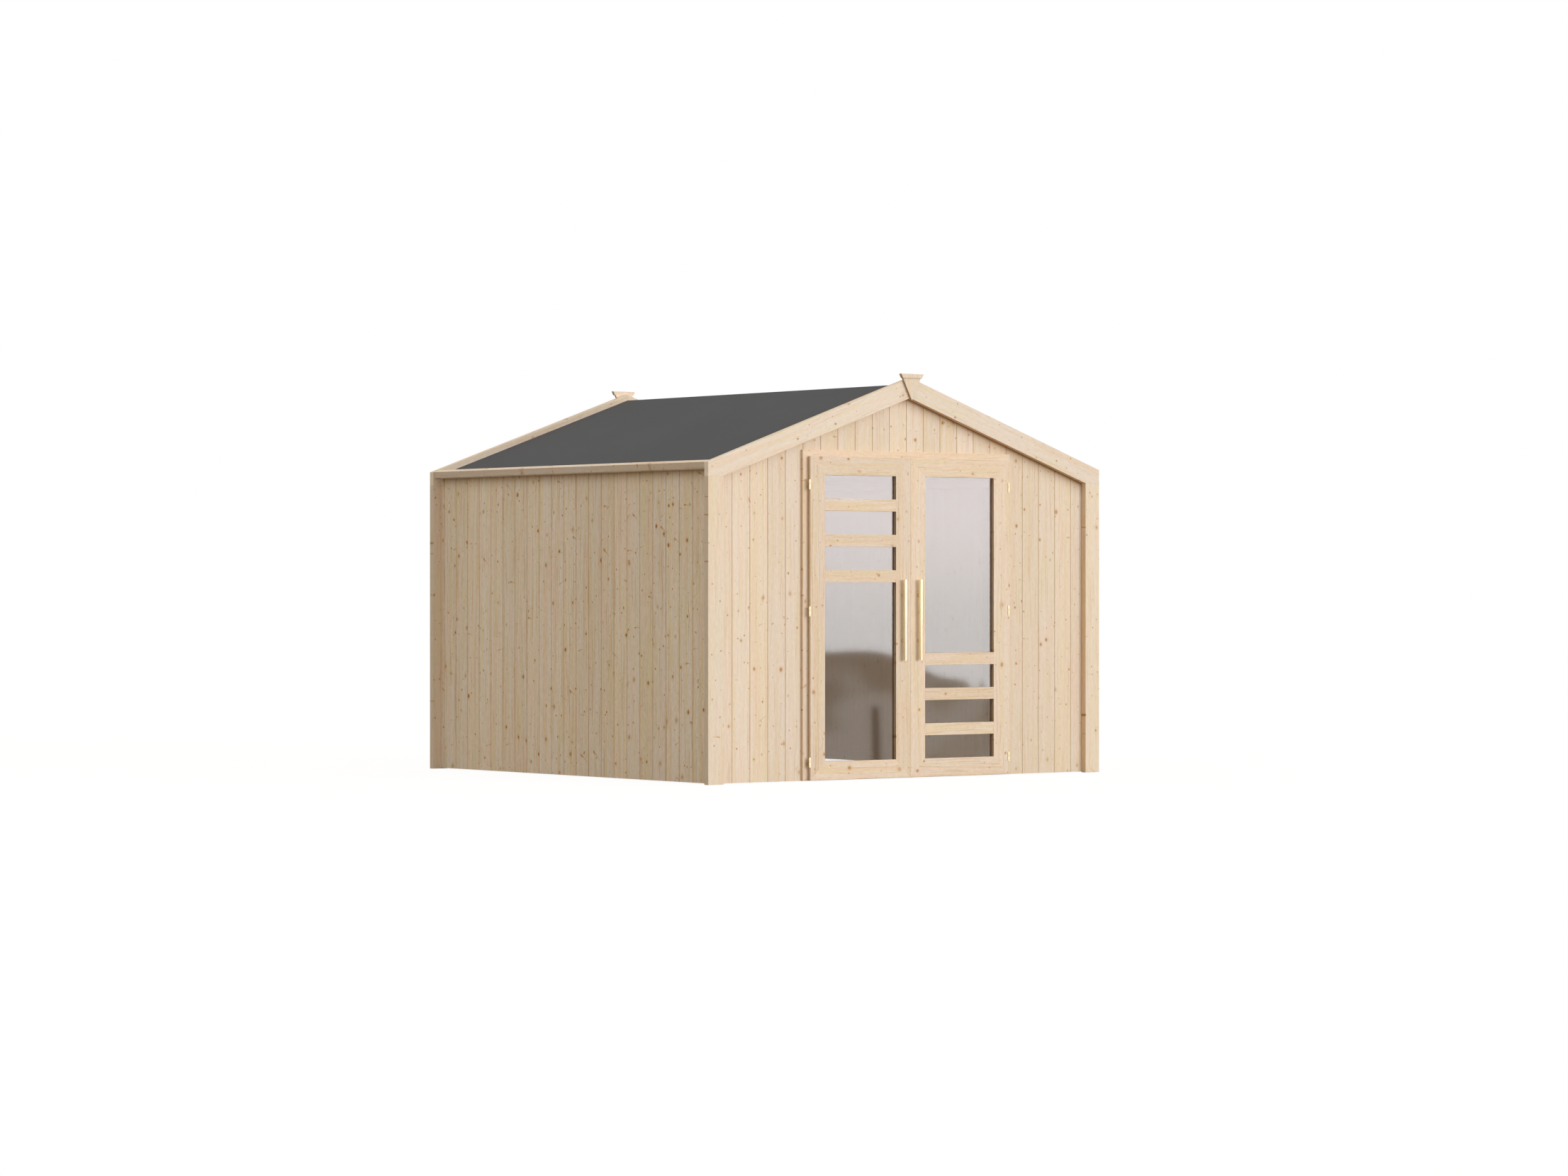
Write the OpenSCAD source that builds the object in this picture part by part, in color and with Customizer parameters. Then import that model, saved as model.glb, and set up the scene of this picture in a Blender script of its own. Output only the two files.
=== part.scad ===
// Timber garden shed with a shallow gable roof and a pair of glazed doors in the front gable.
// The front faces -Y, Z is up, and the origin is the bottom centre of the overall box.

/* [Body] */
// Width over the side wall boards
body_w = 3000; // [2200:10:4200]
// Depth over the gable wall boards
body_d = 3000; // [2000:10:5000]
// Height of the bargeboards' top outer corner above the ground
eave_h = 1940; // [1800:5:2600]
// Slope of the roof in degrees
roof_pitch = 19.4; // [14:0.1:30]
// Height of the wall boards' lower edge above the ground
ground_gap = 5; // [2:1:20]

/* [Walls] */
// Thickness of the wall boards
clad_t = 20; // [14:1:28]
// Side of the square studs
stud = 45; // [36:1:60]
// Height of the bottom and top rails
rail_h = 60; // [45:1:95]
// Framed panels in each side wall
side_panels = 3; // [2:1:6]
// Joint left between two framing pieces
joint = 0.3; // [0.2:0.1:1]

/* [Gable frames] */
// Width of a corner post
post_w = 115; // [80:1:160]
// Thickness of the posts and bargeboards
frame_t = 40; // [28:1:60]
// How far the gable frames stand out past the side walls
frame_out = 57; // [45:1:65]
// Width of a bargeboard, square to its length
barge_w = 120; // [100:1:180]

/* [Roof] */
// Height of the bargeboards above the felt, square to the slope
barge_rise = 37; // [20:1:50]
// Thickness of the roofing felt
felt_t = 4; // [2:0.5:6]
// Thickness of the roof boards
deck_t = 18; // [12:1:28]
// How far the roof boards reach past the side walls
deck_over = 22; // [10:1:30]
// Width of the eave board along the slope
eave_board_w = 43; // [36:1:50]
// Width of a purlin
purlin_w = 45; // [36:1:60]
// Depth of a purlin
purlin_h = 110; // [80:1:150]

/* [Finials] */
// Height of a finial's top above the ridge corner of the bargeboards
finial_rise = 22; // [10:1:60]
// Depth of a finial's point below the bargeboards' lower corner
finial_drop = 16; // [5:1:40]
// Half width of the wedge for each unit of its height
finial_flare = 0.508; // [0.35:0.001:0.7]
// Thickness of the wedge board
finial_t = 16; // [10:1:24]
// Height of the strip across the top
finial_strip_h = 26; // [15:1:40]
// How far the strip stands proud of the wedge all round
finial_strip_out = 6; // [3:1:12]

/* [Doors] */
// Width of one door leaf
leaf_w = 783; // [650:1:950]
// Height of a door leaf
leaf_h = 1979; // [1800:1:2020]
// Bevel on a meeting stile's edge, so that the leaf swings clear of the other one
meet_bevel = 1.5; // [1.3:0.1:4]
// Height of the leaves' lower edge above the ground
leaf_z = 8; // [7:1:20]
// Thickness of a leaf
leaf_t = 40; // [36:1:50]
// How far a leaf's face stands proud of the casing
leaf_proud = 25; // [24:1:32]
// Thickness of the lip that laps over the casing
lip_t = 18; // [15:1:18]
// How far the lip laps over the casing
lip_lap = 12; // [8:1:16]
// Clearance round a leaf and between the two leaves
door_gap = 5; // [5:0.5:8]
// Width of the leaf's stiles and rails
member_w = 113; // [90:1:130]
// Height of a glazing bar
bar_h = 75; // [40:1:90]
// Height of a small pane
pane_h = 144; // [100:1:180]
// Glazing bars in one leaf
bar_count = 3; // [1:1:4]
// Thickness of the glass
glass_t = 4; // [3:0.5:6]
// Depth of the glass behind the leaf's face
glass_back = 18; // [14:1:20]
// How far the glass sits in its groove
glass_bite = 10; // [6:1:14]
// Play of the glass in its groove
glass_play = 0.3; // [0.2:0.1:1]

/* [Casing] */
// Width of the casing that shows round the doors
casing_show = 40; // [25:1:60]
// How far the casing stands proud of the wall boards
casing_proud = 18; // [8:1:30]

/* [Hinges] */
// Radius of a hinge knuckle
knuckle_r = 6; // [5:0.5:8]
// Height of one hinge
hinge_h = 60; // [50:1:90]
// Distance from the leaf's edge to the hinge axis
hinge_side = 7.5; // [6.5:0.5:10]
// Distance from the leaf's face out to the hinge axis
hinge_front = 2; // [1:0.5:4]
// Radius of the hinge pin
hinge_pin_r = 3; // [2:0.1:4]
// Play of the hinge pin in its knuckle
hinge_play = 0.08; // [0.02:0.02:0.2]
// Distance of the top hinge's middle below the leaf's top
hinge_top = 173; // [120:1:300]
// Distance of the middle hinge's middle below the leaf's top
hinge_mid = 948; // [700:1:1200]
// Distance of the bottom hinge's middle above the leaf's foot
hinge_bottom = 109; // [80:1:300]

/* [Handles] */
// Diameter of a pull bar
pull_d = 25; // [18:1:32]
// Length of a pull bar
pull_len = 500; // [300:5:800]
// Distance between a pull bar's two stand-offs
pull_span = 282; // [200:1:500]
// How far the stand-offs' middle is above the bar's
pull_lift = 13; // [0:1:40]
// Height of a pull bar's middle above the leaf's foot
pull_mid = 976; // [800:1:1200]
// Distance from the leaf's meeting edge to the bar's axis
pull_inset = 60; // [40:1:80]
// Distance from the leaf's face to the bar's axis
pull_reach = 25; // [24:1:60]
// Diameter of a stand-off
standoff_d = 20; // [14:1:24]

/* [Hidden] */
$fn = 48;

pine = [0.90, 0.81, 0.70];
pine_shade = [0.80, 0.70, 0.57];
brass = [0.85, 0.68, 0.35];
felt_grey = [0.36, 0.36, 0.36];
clear = [0.75, 0.78, 0.78, 0.4];

// A cutter reaches this far past what it cuts
past = 5;

half_w = body_w / 2;
half_d = body_d / 2;
frame_half = half_w + frame_out;
pitch_tan = tan(roof_pitch);
pitch_cos = cos(roof_pitch);
pitch_sin = sin(roof_pitch);

// Depths square to the slope, from the bargeboards' top edge down
deck_top_n = barge_rise + felt_t;
deck_low_n = deck_top_n + deck_t;
wall_top_n = deck_low_n + joint;

// Height of the roof surface that lies n below the bargeboards' top edge, at x
function roof_z(x, n) = eave_h + (frame_half - abs(x)) * pitch_tan - n / pitch_cos;
// Point u along the left slope from its lower corner and n below its top edge
function slope_point(u, n) = [-frame_half + u * pitch_cos + n * pitch_sin, eave_h + u * pitch_sin - n * pitch_cos];
// Length along the slope at which depth n reaches the ridge
function ridge_u(n) = (frame_half - n * pitch_sin) / pitch_cos;

// Faces of the front wall, from outside in
clad_front = -half_d;
clad_back = clad_front + clad_t;
room_front = clad_back + stud;
casing_front = clad_front - casing_proud;
leaf_front = casing_front - leaf_proud;
leaf_back = leaf_front + leaf_t;
lip_back = leaf_front + lip_t;
glass_front = leaf_front + glass_back;

// Casing and leaves
pair_w = 2 * leaf_w + door_gap;
casing_in = pair_w / 2 - lip_lap;
casing_out = pair_w / 2 + casing_show;
leaf_top = leaf_z + leaf_h;
casing_in_top = leaf_top - lip_lap;
casing_top = leaf_top + casing_show;
sill_top = leaf_z + lip_lap;
lip_step = lip_lap + door_gap;
opening_w = leaf_w - 2 * member_w;
bar_stack = bar_count * (bar_h + pane_h);

// Framing lines
purlin_x = casing_out + stud / 2;
post_top = roof_z(frame_half - post_w, barge_w);
plate_top = roof_z(half_w - clad_t, wall_top_n);
header_z = casing_top;
ridge_purlin_z = roof_z(purlin_w / 2, wall_top_n) - purlin_h;
side_purlin_z = roof_z(purlin_x + purlin_w / 2, wall_top_n) - purlin_h;

// Hinges and handles
hinge_x = -pair_w / 2 - hinge_side;
hinge_y = leaf_front - hinge_front;
hinge_heights = [leaf_z + hinge_bottom, leaf_top - hinge_mid, leaf_top - hinge_top];
knuckle_h = (hinge_h - joint) / 2;
pull_x = -door_gap / 2 - pull_inset;
pull_y = leaf_front - pull_reach;
pull_z = leaf_z + pull_mid;

// The overall box runs from the pull bars to the back finial, and its middle is the origin
finial_out = finial_t + finial_strip_out;
front_reach = pull_reach + pull_d / 2 - leaf_front;
back_reach = half_d + frame_t + finial_out;
centre_y = (front_reach - back_reach) / 2;

module placed() translate([0, centre_y, 0]) children();

// Repeats a shape on the other side of the middle
module both_sides() {
  children();
  mirror([1, 0, 0]) children();
}

// Extrudes an outline drawn in X and Z from y0 to y1
module along_y(y0, y1) translate([0, y1, 0]) rotate([90, 0, 0]) linear_extrude(y1 - y0) children();

// A box from its lowest to its highest corner
module block(low, high) translate(low) cube(high - low);

// ---------- walls ----------

// Boarding of a gable wall between two lines of X, from z0 up to the roof boards
module gable_boards(x0, x1, z0) {
  peak = x0 < 0 && x1 > 0 ? [[0, roof_z(0, wall_top_n)]] : [];
  low = [[x0, z0], [x1, z0]];
  high = concat([[x1, roof_z(x1, wall_top_n)]], peak, [[x0, roof_z(x0, wall_top_n)]]);
  polygon(concat(low, high));
}

module front_wall_left() {
  color(pine) placed() along_y(clad_front, clad_back) gable_boards(-half_w, -casing_out, ground_gap);
}

module front_wall_right() {
  color(pine) placed() along_y(clad_front, clad_back) gable_boards(casing_out, half_w, ground_gap);
}

module front_gable() {
  color(pine) placed() along_y(clad_front, clad_back) gable_boards(-casing_out, casing_out, casing_top);
}

module back_wall() {
  color(pine) placed() along_y(-clad_back, -clad_front) gable_boards(-half_w, half_w, ground_gap);
}

// Boarding of the left side wall, between the two gable walls
module side_boards() {
  inner = half_w - clad_t;
  along_y(clad_back, -clad_back) polygon([
    [-half_w, ground_gap],
    [-inner, ground_gap],
    [-inner, roof_z(inner, wall_top_n)],
    [-half_w, roof_z(half_w, wall_top_n)]
  ]);
}

module left_wall() {
  color(pine) placed() side_boards();
}

module right_wall() {
  color(pine) placed() mirror([1, 0, 0]) side_boards();
}

// ---------- framing ----------

// Upright of a gable wall, cut to the roof's slope at its top
module raking_stud(x0, x1, y0, z0) {
  along_y(y0, y0 + stud) polygon([[x0, z0], [x1, z0], [x1, roof_z(x1, wall_top_n)], [x0, roof_z(x0, wall_top_n)]]);
}

// Studs that a gable wall has on its left: one in the corner and one under the side purlin
module gable_side_studs(y0) {
  corner = -half_w + clad_t;
  foot = ground_gap + rail_h + joint;
  raking_stud(corner, corner + stud, y0, foot);
  block([-purlin_x - stud / 2, y0, foot], [-purlin_x + stud / 2, y0 + stud, side_purlin_z - joint]);
}

module front_framing() {
  color(pine_shade) placed() {
    both_sides() {
      gable_side_studs(clad_back);
      block([-half_w + clad_t, clad_back, ground_gap], [-casing_out, room_front, ground_gap + rail_h]);
    }
    // Header over the door casing, and the king stud that stands on it
    block([-casing_out + joint, clad_back, header_z], [casing_out - joint, room_front, header_z + rail_h]);
    block([-stud / 2, clad_back, header_z + rail_h + joint], [stud / 2, room_front, ridge_purlin_z - joint]);
  }
}

module back_framing() {
  color(pine_shade) placed() {
    both_sides() gable_side_studs(-room_front);
    block([-half_w + clad_t, -room_front, ground_gap], [half_w - clad_t, -clad_back, ground_gap + rail_h]);
    block([-stud / 2, -room_front, ground_gap + rail_h + joint], [stud / 2, -clad_back, ridge_purlin_z - joint]);
  }
}

// Framing of the left wall: a bottom rail, a wall plate and a stud at each end of every panel
module side_framing() {
  x0 = -half_w + clad_t;
  y0 = room_front + joint;
  run = -2 * y0;
  panel = run / side_panels;
  block([x0, y0, ground_gap], [x0 + stud, -y0, ground_gap + rail_h]);
  block([x0, y0, plate_top - rail_h], [x0 + stud, -y0, plate_top]);
  for (i = [0 : side_panels - 1]) {
    for (y = [y0 + i * panel + joint / 2, y0 + (i + 1) * panel - stud - joint / 2]) {
      block([x0, y, ground_gap + rail_h + joint], [x0 + stud, y + stud, plate_top - rail_h - joint]);
    }
  }
}

module left_framing() {
  color(pine_shade) placed() side_framing();
}

module right_framing() {
  color(pine_shade) placed() mirror([1, 0, 0]) side_framing();
}

// ---------- gable frames ----------

// Corner post at the front left
module post() {
  block([-frame_half, clad_front - frame_t, 0], [-frame_half + post_w, clad_front, post_top]);
}

module front_left_post() {
  color(pine) placed() post();
}

module front_right_post() {
  color(pine) placed() mirror([1, 0, 0]) post();
}

module back_left_post() {
  color(pine) placed() mirror([0, 1, 0]) post();
}

module back_right_post() {
  color(pine) placed() mirror([0, 1, 0]) mirror([1, 0, 0]) post();
}

// Bargeboard at the front left: plumb cut at both ends, with a level seat on its post
module bargeboard() {
  along_y(clad_front - frame_t, clad_front) polygon([
    slope_point(0, 0),
    slope_point(ridge_u(0), 0),
    slope_point(ridge_u(barge_w), barge_w),
    [-frame_half + post_w, post_top],
    [-frame_half, post_top]
  ]);
}

module front_left_bargeboard() {
  color(pine) placed() bargeboard();
}

module front_right_bargeboard() {
  color(pine) placed() mirror([1, 0, 0]) bargeboard();
}

module back_left_bargeboard() {
  color(pine) placed() mirror([0, 1, 0]) bargeboard();
}

module back_right_bargeboard() {
  color(pine) placed() mirror([0, 1, 0]) mirror([1, 0, 0]) bargeboard();
}

// Wedge with a proud strip across its top, fixed to the front of the bargeboards
module finial() {
  y1 = clad_front - frame_t;
  tip = roof_z(0, barge_w) - finial_drop;
  top = roof_z(0, 0) + finial_rise;
  strip_z = top - finial_strip_h;
  half_low = (strip_z - tip) * finial_flare;
  half_top = (top - tip) * finial_flare;
  along_y(y1 - finial_t, y1) polygon([[0, tip], [half_low, strip_z], [-half_low, strip_z]]);
  along_y(y1 - finial_out, y1) polygon([
    [-half_low - finial_strip_out, strip_z],
    [half_low + finial_strip_out, strip_z],
    [half_top + finial_strip_out, top],
    [-half_top - finial_strip_out, top]
  ]);
}

module front_finial() {
  color(pine) placed() finial();
}

module back_finial() {
  color(pine) placed() mirror([0, 1, 0]) finial();
}

// ---------- roof ----------

// Slab of the left slope between two depths, from u0 to the ridge
module slope_slab(u0, n0, n1) {
  along_y(clad_front, -clad_front) polygon([
    slope_point(u0, n0),
    slope_point(ridge_u(n0), n0),
    slope_point(ridge_u(n1), n1),
    slope_point(u0, n1)
  ]);
}

module roof_deck() slope_slab((frame_out - deck_over) / pitch_cos, deck_top_n + joint, deck_low_n);

module roof_felt() slope_slab(eave_board_w + joint, barge_rise, deck_top_n);

// Eave board between the gable frames, its top in line with the bargeboards' tops
module eave_board() {
  along_y(clad_front, -clad_front) polygon([
    slope_point(0, 0),
    slope_point(eave_board_w, 0),
    slope_point(eave_board_w, deck_top_n),
    slope_point(0, deck_top_n)
  ]);
}

module left_eave_board() {
  color(pine) placed() eave_board();
}

module right_eave_board() {
  color(pine) placed() mirror([1, 0, 0]) eave_board();
}

module left_roof_deck() {
  color(pine_shade) placed() roof_deck();
}

module right_roof_deck() {
  color(pine_shade) placed() mirror([1, 0, 0]) roof_deck();
}

module left_roof_felt() {
  color(felt_grey) placed() roof_felt();
}

module right_roof_felt() {
  color(felt_grey) placed() mirror([1, 0, 0]) roof_felt();
}

module roof_purlins() {
  w = purlin_w / 2;
  color(pine_shade) placed() {
    along_y(clad_back, -clad_back) polygon([
      [-w, ridge_purlin_z],
      [w, ridge_purlin_z],
      [w, roof_z(w, wall_top_n)],
      [0, roof_z(0, wall_top_n)],
      [-w, roof_z(w, wall_top_n)]
    ]);
    both_sides() along_y(clad_back, -clad_back) polygon([
      [-purlin_x - w, side_purlin_z],
      [-purlin_x + w, side_purlin_z],
      [-purlin_x + w, roof_z(purlin_x - w, wall_top_n)],
      [-purlin_x - w, roof_z(purlin_x + w, wall_top_n)]
    ]);
  }
}

// ---------- door casing ----------

module door_jambs() {
  color(pine) placed() both_sides() {
    block([-casing_out, casing_front, ground_gap], [-casing_in, room_front, casing_in_top]);
  }
}

module door_head() {
  color(pine) placed() block([-casing_out, casing_front, casing_in_top], [casing_out, room_front, casing_top]);
}

module door_sill() {
  color(pine_shade) placed() {
    block([-casing_in, casing_front, ground_gap], [casing_in, room_front, sill_top]);
  }
}

// ---------- door leaves: each is drawn as the left one, and mirrored for the right ----------

// Joined frame of a leaf: the lip all round, the body inside the casing and the glazing groove
module leaf_ring() {
  x0 = -pair_w / 2;
  x1 = -door_gap / 2;
  groove_x0 = x0 + member_w - glass_bite - glass_play;
  groove_x1 = x1 - member_w + glass_bite + glass_play;
  groove_z0 = leaf_z + member_w - glass_bite - glass_play;
  groove_z1 = leaf_top - member_w + glass_bite + glass_play;
  difference() {
    union() {
      block([x0, leaf_front, leaf_z], [x1, lip_back, leaf_top]);
      block([x0 + lip_step, leaf_front, leaf_z + lip_step], [x1, leaf_back, leaf_top - lip_step]);
    }
    block(
      [x0 + member_w, leaf_front - past, leaf_z + member_w],
      [x1 - member_w, leaf_back + past, leaf_top - member_w]
    );
    block(
      [groove_x0, glass_front - glass_play, groove_z0],
      [groove_x1, glass_front + glass_t + glass_play, groove_z1]
    );
    // Bevel of the meeting edge
    translate([0, 0, leaf_z - past]) linear_extrude(leaf_h + 2 * past) {
      polygon([[x1, leaf_front], [x1 + past, leaf_front], [x1 + past, leaf_back], [x1 - meet_bevel, leaf_back]]);
    }
  }
}

// Side parts of the leaf's outline, cut off at 45 degrees at the corners
module stile_outlines() {
  x0 = -pair_w / 2;
  x1 = -door_gap / 2;
  m = member_w;
  polygon([[x0, leaf_z], [x0 + m, leaf_z + m], [x0 + m, leaf_top - m], [x0, leaf_top]]);
  polygon([[x1, leaf_z], [x1 - m, leaf_z + m], [x1 - m, leaf_top - m], [x1, leaf_top]]);
}

// Top and bottom parts of the leaf's outline, cut off at 45 degrees at the corners
module rail_outlines() {
  x0 = -pair_w / 2;
  x1 = -door_gap / 2;
  m = member_w;
  polygon([[x0, leaf_z], [x1, leaf_z], [x1 - m, leaf_z + m], [x0 + m, leaf_z + m]]);
  polygon([[x0, leaf_top], [x1, leaf_top], [x1 - m, leaf_top - m], [x0 + m, leaf_top - m]]);
}

module stiles() {
  intersection() {
    leaf_ring();
    along_y(leaf_front - past, leaf_back + past) stile_outlines();
  }
}

module rails() {
  intersection() {
    leaf_ring();
    along_y(leaf_front - past, leaf_back + past) rail_outlines();
  }
}

// Glazing bars on both faces of the glass; the small panes start from z0
module bars(z0) {
  x0 = -pair_w / 2 + member_w;
  x1 = -door_gap / 2 - member_w;
  for (i = [0 : bar_count - 1]) {
    z = z0 + i * (bar_h + pane_h);
    block([x0, leaf_front, z], [x1, glass_front, z + bar_h]);
    block([x0, glass_front + glass_t, z], [x1, leaf_back, z + bar_h]);
  }
}

module glass() {
  x0 = -pair_w / 2 + member_w - glass_bite;
  x1 = -door_gap / 2 - member_w + glass_bite;
  z0 = leaf_z + member_w - glass_bite;
  z1 = leaf_top - member_w + glass_bite;
  block([x0, glass_front, z0], [x1, glass_front + glass_t, z1]);
}

// Round pull bar on two stand-offs
module handle() {
  translate([pull_x, pull_y, pull_z - pull_len / 2]) cylinder(d = pull_d, h = pull_len);
  for (side = [-1, 1]) {
    translate([pull_x, leaf_front, pull_z + pull_lift + side * pull_span / 2]) {
      rotate([90, 0, 0]) cylinder(d = standoff_d, h = pull_reach);
    }
  }
}

// Knuckles on the leaf: the lower half of each hinge, drilled for the pin, with its arm to the leaf
module leaf_knuckles() {
  for (z = hinge_heights) {
    translate([hinge_x, hinge_y, z - hinge_h / 2]) difference() {
      union() {
        cylinder(r = knuckle_r, h = knuckle_h);
        intersection() {
          translate([0, 0, knuckle_h / 2]) rotate([0, 90, 45]) cylinder(r = hinge_pin_r, h = 3 * hinge_side);
          translate([0, 0, 0]) cube([hinge_side, 3 * hinge_side, knuckle_h]);
        }
      }
      translate([0, 0, -past]) cylinder(r = hinge_pin_r + hinge_play, h = knuckle_h + 2 * past);
    }
  }
}

// Knuckles on the casing: the upper half of each hinge, with its pin and its arm to the casing
module casing_knuckles() {
  arm = casing_front - hinge_y;
  for (z = hinge_heights) {
    translate([hinge_x, hinge_y, z + hinge_h / 2 - knuckle_h]) {
      cylinder(r = knuckle_r, h = knuckle_h);
      translate([0, 0, -knuckle_h - 2 * joint]) cylinder(r = hinge_pin_r, h = knuckle_h + past);
      translate([0, 0, knuckle_h / 2]) rotate([-90, 0, 0]) cylinder(r = hinge_pin_r, h = arm);
    }
  }
}

module casing_hinges() {
  color(brass) placed() both_sides() casing_knuckles();
}

// The left leaf has its small panes at the top, the right one at the bottom
left_bars_z = leaf_top - member_w - bar_stack;
right_bars_z = leaf_z + member_w + pane_h;

module left_door_stiles() {
  color(pine) placed() stiles();
}

module left_door_rails() {
  color(pine) placed() rails();
}

module left_door_bars() {
  color(pine) placed() bars(left_bars_z);
}

module left_door_glass() {
  color(clear) placed() glass();
}

module left_door_handle() {
  color(brass) placed() handle();
}

module left_door_hinges() {
  color(brass) placed() leaf_knuckles();
}

module right_door_stiles() {
  color(pine) placed() mirror([1, 0, 0]) stiles();
}

module right_door_rails() {
  color(pine) placed() mirror([1, 0, 0]) rails();
}

module right_door_bars() {
  color(pine) placed() mirror([1, 0, 0]) bars(right_bars_z);
}

module right_door_glass() {
  color(clear) placed() mirror([1, 0, 0]) glass();
}

module right_door_handle() {
  color(brass) placed() mirror([1, 0, 0]) handle();
}

module right_door_hinges() {
  color(brass) placed() mirror([1, 0, 0]) leaf_knuckles();
}

front_wall_left();
front_wall_right();
front_gable();
back_wall();
left_wall();
right_wall();
front_framing();
back_framing();
left_framing();
right_framing();
front_left_post();
front_right_post();
back_left_post();
back_right_post();
front_left_bargeboard();
front_right_bargeboard();
back_left_bargeboard();
back_right_bargeboard();
left_eave_board();
right_eave_board();
left_roof_deck();
right_roof_deck();
left_roof_felt();
right_roof_felt();
roof_purlins();
front_finial();
back_finial();
door_jambs();
door_head();
door_sill();
casing_hinges();
left_door_stiles();
left_door_rails();
left_door_bars();
left_door_glass();
left_door_handle();
left_door_hinges();
right_door_stiles();
right_door_rails();
right_door_bars();
right_door_glass();
right_door_handle();
right_door_hinges();
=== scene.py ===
import bmesh
import bpy
import math
import random
from mathutils import Matrix, Vector


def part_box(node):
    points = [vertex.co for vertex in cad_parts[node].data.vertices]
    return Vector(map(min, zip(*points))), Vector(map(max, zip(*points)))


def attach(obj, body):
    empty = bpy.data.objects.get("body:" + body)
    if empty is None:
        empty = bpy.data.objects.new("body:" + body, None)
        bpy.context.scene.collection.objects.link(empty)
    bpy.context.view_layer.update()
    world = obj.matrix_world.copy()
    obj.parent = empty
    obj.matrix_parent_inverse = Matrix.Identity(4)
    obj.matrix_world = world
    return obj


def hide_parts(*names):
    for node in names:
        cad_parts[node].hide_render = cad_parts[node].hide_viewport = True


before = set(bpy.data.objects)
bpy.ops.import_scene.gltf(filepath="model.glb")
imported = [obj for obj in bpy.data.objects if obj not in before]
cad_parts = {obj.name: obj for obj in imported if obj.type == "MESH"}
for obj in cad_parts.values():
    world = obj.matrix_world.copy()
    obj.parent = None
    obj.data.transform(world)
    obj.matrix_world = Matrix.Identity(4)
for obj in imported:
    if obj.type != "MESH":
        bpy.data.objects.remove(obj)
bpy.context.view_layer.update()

UP = Vector((0, 0, 1))
RIGHT = Vector((1, 0, 0))
BACKWARD = Vector((0, 1, 0))
SIDEWAYS = (RIGHT, -RIGHT)

# Boarding, in metres: what a board covers, the slit between two and the chamfer along it
BOARD_COVER = 0.135
GABLE_BOARDS_A_SIDE = 10
SIDE_COVER = 0.1378
SIDE_BOARD_SEAMS = 21
SIDE_FIRST_SEAM = 0.047
ROOF_BOARD_COVER = 0.121
BOARD_SLIT = 0.0008
LEAST_BOARD = 0.004
GABLE_CHAMFER = 0.0023
SIDE_CHAMFER = 0.0034
ROOF_CHAMFER = 0.0034
# The tongues: how far behind the outer face, behind the room face, and short of a wall's ends and top
TONGUE_DEPTH = 0.007
TONGUE_INSET = 0.0008
TONGUE_SHORT = 0.002
TONGUE_LOWER = 0.001
# How plain the boards' figure is on the room's side, from 0 to 1
ROOM_FACE_CALM = 0.62

# How near the middle a leaf's meeting edge lies, and how far its front corner leans towards the middle
MEETING_EDGE = 0.006
MEETING_REACH = 0.0022

# Softened edges of planed timber, of joinery, of sawn framing and of the felt
ARRIS = 0.0012
JOINT_ARRIS = 0.0006
SAWN_ARRIS = 0.002
FELT_ARRIS = 0.0008

# The CAD meshes' seams are closed within this, flat faces are made one, and edges sharper than this are softened
WELD = 0.00002
FINE_WELD = 0.00001
FLAT = math.radians(1)
SHARP_EDGE = 0.2
RIM_EDGE = 1.2
# How alike two directions are that count as one, and above what they don't count as square to each other
SAME_WAY = 0.9
OBLIQUE = 0.5
# How far behind a leaf's face its front corners are looked for
FACE_SLACK = 0.001
# Timber thinner than this from front to back has its broad face to the front
THIN_TIMBER = 0.11
# Faces within this of a pane belong to its opening
PANE_MARGIN = 0.03

# Painted shade in the boards' seams and on their tongues, and on the sides, undersides, edges, reveals and rebates
# of the trim and door parts: what each holds back of red, green and blue, from 0 to 1
SEAM_SHADE = Vector((0.10, 0.18, 0.29))
TONGUE_SHADE = Vector((0.25, 0.36, 0.46))
POST_SHADE = Vector((0.17, 0.20, 0.21))
INNER_POST_SHADE = Vector((0.08, 0.17, 0.31))
EAVE_SHADE = Vector((0.16, 0.20, 0.23))
SOFFIT_SHADE = Vector((0.02, 0.23, 0.45))
FINIAL_SHADE = Vector((0.41, 0.54, 0.66))
EDGE_SHADE = Vector((0.05, 0.17, 0.30))
REVEAL_SHADE = Vector((0.46, 0.55, 0.62))
REBATE_SHADE = Vector((0.76, 0.89, 0.96))


# ---------- timber ----------

def timber(shape=None):
    """A mesh whose points carry the run of the grain and the tone of their length of timber, and whose faces carry
    their painted shade, as what they hold back of each colour, and how plain their figure is."""
    bm = bmesh.new()
    if shape:
        bm.from_mesh(shape)
    bm.verts.layers.float_vector.new("grain")
    bm.verts.layers.float.new("tone")
    bm.faces.layers.float_vector.new("painted_shade")
    bm.faces.layers.float.new("calm")
    return bm


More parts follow.
